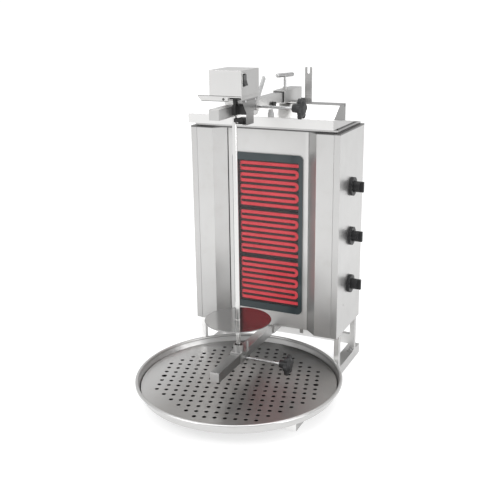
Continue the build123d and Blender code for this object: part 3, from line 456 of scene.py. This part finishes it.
FINISHES = {
    # Painted light: the rails' front ends much lighter.
    "frame_steel": brushed("frame_steel", grey(0.43), "y", 0.36, tones=((front_faces, grey(0.95)),)),
    # Painted shade: dark under the lid, darker towards the foot, and a shadow line below the lid's edge.
    "cabinet_steel": brushed("cabinet_steel", grey(0.53), "z", 0.33,
                             tones=((under_lid, DARK), (low_down, grey(0.45)), (lid_shadow, grey(0.14)))),
    # Painted shade on the inner flanks, towards the foot and below the lid's edge, with stains.
    "wing_steel": brushed("wing_steel", grey(0.56), "z", 0.34, stain=0.08,
                          tones=((folded_inwards, grey(0.51)), (low_down, grey(0.47)),
                                 (lid_shadow, grey(0.12)))),
    # Painted highlight along the right edge; painted shade in the left joint and below the lid's edge, with
    # stains.
    "panel_steel": brushed("panel_steel", grey(0.60), "z", 0.40, stain=0.06,
                           tones=((panel_right_edge, grey(0.66)), (panel_joint_shade, DARK),
                                  (lid_shadow, grey(0.12)))),
    # Painted light and shade: the top lightest, the front darker, the right faces darker still, the bridge's
    # end and edges in painted shade.
    "lid_steel": brushed("lid_steel", grey(0.86), "x", 0.32,
                         tones=((front_faces, grey(0.73)), (right_faces, grey(0.48)),
                                (bridge_side, grey(0.24)), (bridge_edge_shade, grey(0.12)))),
    "pan_steel": brushed("pan_steel", grey(0.58), "round", 0.34, stain=0.12, tones=((pan_floor, DARK),)),
    # Painted shade towards the rear and a painted highlight towards the left, with stains.
    "plate_steel": brushed("plate_steel", (0.35, 0.34, 0.33), "x", 0.41, stain=0.15,
                           tones=((plate_rear, grey(0.18)), (plate_left, grey(0.60)))),
    # Painted shade on the right faces, on the hanger plate below the motor and along the pull strip's lower
    # edge; a dark line at the cover's joint.
    "motor_steel": brushed("motor_steel", grey(0.66), "x", 0.32,
                           tones=((right_faces, grey(0.44)), (under_motor, grey(0.24)),
                                  (cover_seam_and_strip_shade, grey(0.10)))),
    "sleeve_steel": brushed("sleeve_steel", grey(0.46), "y", 0.35),
    "mast_steel": brushed("mast_steel", grey(0.42), "z", 0.35),
    # Painted shade on the lower arm, with a painted highlight on its front end.
    "arm_steel": brushed("arm_steel", grey(0.54), "y", 0.32,
                         tones=((lower_arm_area, grey(0.34)), (lower_arm_end, grey(0.58)))),
    # Painted shade: the disc darker than the rod.
    "spit_steel": brushed("spit_steel", grey(0.64), "round", 0.16, tones=((disc_area, grey(0.31)),)),
    "bright_steel": plated("bright_steel", (0.44, 0.44, 0.44), 0.20),
    "screw_steel": plated("screw_steel", (0.62, 0.62, 0.63), 0.22),
    "brass": plated("turned_brass", (0.72, 0.52, 0.24), 0.25),
    "motor_can": enamel("motor_can", (0.05, 0.05, 0.055)),
    "rubber": rubbery("foot_rubber"),
    "heater_glass": dark_glass(),
    "ribbon": glowing_ribbon(),
    "tray_board": insulating_board(),
    "switch_plastic": moulded("switch_plastic", (0.03, 0.03, 0.03), 0.5, 0.0),
    "knob_plastic": moulded("knob_plastic", (0.005, 0.005, 0.006), 0.42, 0.0),
    "black_plastic": moulded("black_plastic", (0.010, 0.010, 0.010), 0.42, 0.05),
    "gland_plastic": moulded("gland_plastic", (0.32, 0.32, 0.32), 0.5, 0.0),
    "rocker_plastic": moulded("rocker_plastic", (0.008, 0.008, 0.008), 0.25, 0.3),
}


def finish_cad_nodes():
    for part in frame["record"]["subparts"]:
        node = frame["nodes"][part["node"]]
        node.data.materials.clear()
        node.data.materials.append(FINISHES[part["material_slot"]])


finish_cad_nodes()


# ------------------------------------------------------------------ small pieces

def link(name, mesh, material, body):
    """Puts a finished mesh into the scene, on its body."""
    piece = bpy.data.objects.new(name, mesh)
    scene.collection.objects.link(piece)
    mesh.materials.clear()
    mesh.materials.append(material)
    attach(piece, body)
    return piece


def turned(name, profile, place, facing, material, body, sides=32):
    """A turned piece from (radius, height) points, standing at place with its axis along facing."""
    work = bmesh.new()
    rings = []
    for radius, height in profile:
        count = 1 if radius == 0 else sides
        steps = [2 * math.pi * k / sides for k in range(count)]
        rings.append([work.verts.new((radius * math.cos(a), radius * math.sin(a), height)) for a in steps])
    for low, high in zip(rings, rings[1:]):
        for k in range(sides):
            below = [low[k % len(low)], low[(k + 1) % len(low)]]
            above = [high[(k + 1) % len(high)], high[k % len(high)]]
            work.faces.new(list(dict.fromkeys(below + above)))
    work.transform(Matrix.Translation(place) @ Vector(facing).to_track_quat("Z", "Y").to_matrix().to_4x4())
    bmesh.ops.recalc_face_normals(work, faces=work.faces)
    mesh = bpy.data.meshes.new(name)
    work.to_mesh(mesh)
    work.free()
    return link(name, mesh, material, body)


class RowTree:
    """A Geometry Nodes tree that repeats one small form, with named inputs for its sizes."""

    INPUTS = {"Count": "Int", "Start": "Vector", "Step": "Vector", "Turn": "Vector", "Radius": "Float",
              "Thickness": "Float", "Material": "Material"}

    def __init__(self, name):
        self.tree = bpy.data.node_groups.new(name, "GeometryNodeTree")
        for label, kind in self.INPUTS.items():
            self.tree.interface.new_socket(label, in_out="INPUT", socket_type="NodeSocket" + kind)
        self.tree.interface.new_socket("Geometry", in_out="OUTPUT", socket_type="NodeSocketGeometry")
        self.given = self.tree.nodes.new("NodeGroupInput").outputs

    def node(self, kind, **sockets):
        """Adds a node with the values or links of its sockets, and gives its first output."""
        made = self.tree.nodes.new(kind)
        for name, value in sockets.items():
            slot = made.inputs[name.replace("_", " ")]
            if isinstance(value, bpy.types.NodeSocket):
                self.tree.links.new(value, slot)
            else:
                slot.default_value = value
        return made.outputs[0]

    def ending_in(self, instances):
        """Makes the instances real, paints them and closes the tree."""
        real = self.node("GeometryNodeRealizeInstances", Geometry=instances)
        painted = self.node("GeometryNodeSetMaterial", Geometry=real, Material=self.given["Material"])
        self.tree.links.new(painted, self.tree.nodes.new("NodeGroupOutput").inputs["Geometry"])
        return self.tree


def ridges_in_a_row():
    """Rings of round wire on a straight line, as on a threaded shank."""
    row = RowTree("ridges_in_a_row")
    given = row.given
    line = row.node("GeometryNodeMeshLine", Count=given["Count"], Start_Location=given["Start"],
                    Offset=given["Step"])
    ring = row.node("GeometryNodeCurvePrimitiveCircle", Resolution=24, Radius=given["Radius"])
    wire = row.node("GeometryNodeCurvePrimitiveCircle", Resolution=6, Radius=given["Thickness"])
    ridge = row.node("GeometryNodeCurveToMesh", Curve=ring, Profile_Curve=wire)
    ridges = row.node("GeometryNodeInstanceOnPoints", Points=line, Instance=ridge, Rotation=given["Turn"])
    return row.ending_in(ridges)


def dots_in_a_ring():
    """Thin tapering dots on a circle, which is then turned and moved to its place."""
    row = RowTree("dots_in_a_ring")
    given = row.given
    circle = row.node("GeometryNodeMeshCircle", Vertices=given["Count"], Radius=given["Radius"])
    dot = row.node("GeometryNodeMeshCone", Vertices=16, Radius_Top=0.0006, Radius_Bottom=0.0009,
                   Depth=given["Thickness"])
    dots = row.node("GeometryNodeInstanceOnPoints", Points=circle, Instance=dot)
    placed = row.node("GeometryNodeTransform", Geometry=dots, Translation=given["Start"],
                      Rotation=given["Turn"])
    return row.ending_in(placed)


RIDGES = ridges_in_a_row()
DOTS = dots_in_a_ring()


def repeated(name, tree, material, body, slot_name, **values):
    """Runs one of the trees above and keeps its result as a plain mesh."""
    base = bpy.data.objects.new(name + "_base", bpy.data.meshes.new(name + "_base"))
    scene.collection.objects.link(base)
    worker = base.modifiers.new("rows", "NODES")
    worker.node_group = tree
    for item in tree.interface.items_tree:
        if item.in_out == "INPUT":
            worker[item.identifier] = material if item.name == "Material" else values[item.name.lower()]
    base.update_tag()
    shaped = base.evaluated_get(bpy.context.evaluated_depsgraph_get())
    mesh = bpy.data.meshes.new_from_object(shaped)
    bpy.data.objects.remove(base)
    for face in mesh.polygons:
        face.use_smooth = tree is RIDGES
    return link(name, mesh, material, body)


THREAD_PITCH = 0.00125
THREAD_RADIUS = 0.0034              # to the middle of a ridge
RIDGE_RADIUS = 0.00042
FACING_X = (0.0, math.pi / 2, 0.0)
FACING_Z = (0.0, 0.0, 0.0)
UNMOVED = (0.0, 0.0, 0.0)


def thread(body, start, step, turn, count):
    repeated(body + "_thread", RIDGES, FINISHES["bright_steel"], body, "bright_steel", count=count,
             start=start, step=step, turn=turn, radius=THREAD_RADIUS, thickness=RIDGE_RADIUS)


def screw_threads():
    """Thread ridges on the bare shanks of the three hand screws."""
    for body in ("top_star", "lower_star"):
        screw = middle(body + "_screw")
        thread(body, (0.040, screw.y, screw.z), (THREAD_PITCH, 0.0, 0.0), FACING_X, 52)
    thread("t_screw", (0.0, middle("t_clamp_screw").y, 0.789), (0.0, 0.0, THREAD_PITCH), FACING_Z, 13)


def dial_marks():
    """A ring of printed dots on each knob's bezel."""
    print_grey = moulded("dial_print", (0.16, 0.16, 0.16), 0.6, 0.0)
    bezel_face = high_corner("knob_bezels").x
    for place in ("top", "middle", "bottom"):
        knob = middle("control_knob_" + place)
        repeated("dial_marks_" + place, DOTS, print_grey, "stand", "knob_plastic", count=12,
                 start=(bezel_face, knob.y, knob.z), step=UNMOVED, turn=FACING_X, radius=0.0215,
                 thickness=0.0003)


def socket_screw(name, place, facing, radius, body, slot_name):
    """Button head with a round-bottomed socket."""
    socket = [(0, -0.2), (0.30, -0.2), (0.38, 0.45)]
    head = [(0.62, 0.48), (0.88, 0.32), (1, 0.08), (1, -0.1), (0, -0.3)]
    profile = [(out * radius, up * radius) for out, up in socket + head]
    return turned(name, profile, place, facing, FINISHES[slot_name], body)


def small_screws():
    """One screw on the front of the pull strip and two on the hanger plate."""
    on_strip = (-0.006, low_corner("motor_plate").y + 0.001, 0.7892)
    socket_screw("strip_screw", on_strip, (0, -1, 0), 0.0030, "arm", "black_plastic")
    for index, y in enumerate((-0.085, -0.030)):
        on_hanger = (high_corner("hanger_plate").x, y, 0.7835)
        socket_screw("hanger_screw_%d" % index, on_hanger, (1, 0, 0), 0.0026, "arm", "screw_steel")


screw_threads()
dial_marks()
small_screws()


# ------------------------------------------------------------------ floor and light

def lay_floor():
    """A pale floor that glows a little itself, and reaches far enough for its edge to be out of sight."""
    mesh = bpy.data.meshes.new("floor")
    reach = 90.0
    corners = [(-reach, -reach, 0), (reach, -reach, 0), (reach, reach, 0), (-reach, reach, 0)]
    mesh.from_pydata(corners, [], [(0, 1, 2, 3)])
    floor = bpy.data.objects.new("floor", mesh)
    scene.collection.objects.link(floor)
    s = surface("pale_floor")
    paint = s.mix(s.noise(s.place, 3.0, 2.0), (0.38, 0.38, 0.38), (0.40, 0.40, 0.40))
    finish = s.done(Base_Color=paint, Roughness=0.9, Emission_Color=paint, Emission_Strength=1.8)
    mesh.materials.append(finish)


def soft_light(name, place, aim, size, power):
    data = bpy.data.lights.new(name, "AREA")
    data.shape = "RECTANGLE"
    data.size, data.size_y = size
    data.energy = power
    lamp = bpy.data.objects.new(name, data)
    lamp.location = place
    lamp.rotation_euler = (Vector(aim) - Vector(place)).to_track_quat("-Z", "Y").to_euler()
    scene.collection.objects.link(lamp)


def studio_world():
    """White backdrop to the eye and to matt surfaces; metal mirrors it grey at eye level and paler above."""
    s = Shader(bpy.data.worlds.new("studio"), "Background", "Generated")
    mirrored = 0.60 + 0.35 * s.ramp(s.axis("Z"), -0.1, 0.9)
    in_metal = s.node("ShaderNodeLightPath").outputs["Is Glossy Ray"]
    strength = s.node("ShaderNodeMix", {"data_type": "FLOAT"}, Factor=in_metal, A=1.05, B=mirrored).outputs[0]
    scene.world = s.done(Strength=strength, Color=(1.0, 1.0, 1.0))


def light_studio():
    studio_world()
    aim = (0, 0.1, 0.4)
    soft_light("key", (-1.6, -2.2, 2.4), aim, (1.8, 1.8), 38)
    soft_light("side", (2.8, -0.3, 1.2), aim, (1.4, 2.2), 26)
    soft_light("top", (0.2, 0.2, 3.0), aim, (2.4, 2.4), 34)


lay_floor()
light_studio()
scene.view_settings.view_transform = "Standard"
